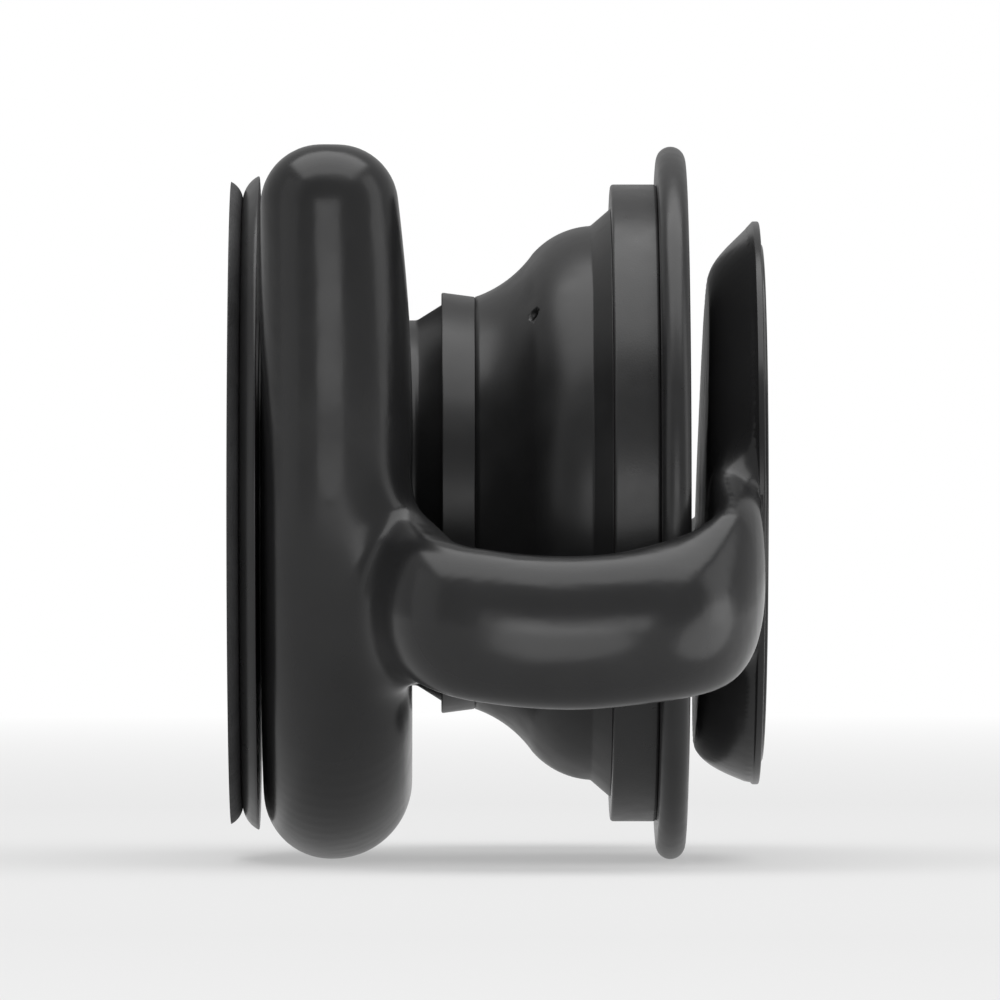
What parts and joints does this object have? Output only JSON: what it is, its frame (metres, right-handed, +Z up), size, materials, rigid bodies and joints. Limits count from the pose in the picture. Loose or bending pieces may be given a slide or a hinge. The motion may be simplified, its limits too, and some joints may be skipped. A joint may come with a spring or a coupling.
{
  "type": "adhesive phone mount",
  "caption": "Soft frame stuck to a wall by a gel pad, with a U-shaped cradle on two arms that holds a collapsible stick-on phone grip by its neck.",
  "frame": {"origin": "centre of the wall pad's face, on the grip's axis", "axes": "+X out of the wall along the grip's axis towards the phone, +Z up through the cradle's open mouth"},
  "size_m": [0.0295, 0.0534, 0.0396],
  "materials": {
    "soft_frame": "satin soft-touch silicone",
    "gel": "tacky smooth gel",
    "adhesive": "matt adhesive film",
    "hard_plastic": "fine satin moulding",
    "bellows": "satin soft plastic"
  },
  "bodies": {
    "mount": {"mount_frame": "soft_frame", "wall_gel_pad": "gel"},
    "grip": {"phone_adhesive_pad": "adhesive", "grip_base": "hard_plastic", "bellows": "bellows"},
    "button": {"button_collar": "hard_plastic", "button_disc": "hard_plastic"}
  },
  "joints": [
    {"name": "grip_swivel", "type": "hinge", "parent": "mount", "child": "grip", "pos_m": [0.0235, 0, 0], "axis": [1, 0, 0], "continuous": true},
    {"name": "grip_collapse", "type": "slide", "parent": "grip", "child": "button", "axis": [1, 0, 0], "range_m": [0, 0.006], "deforming": ["bellows"]}
  ]
}
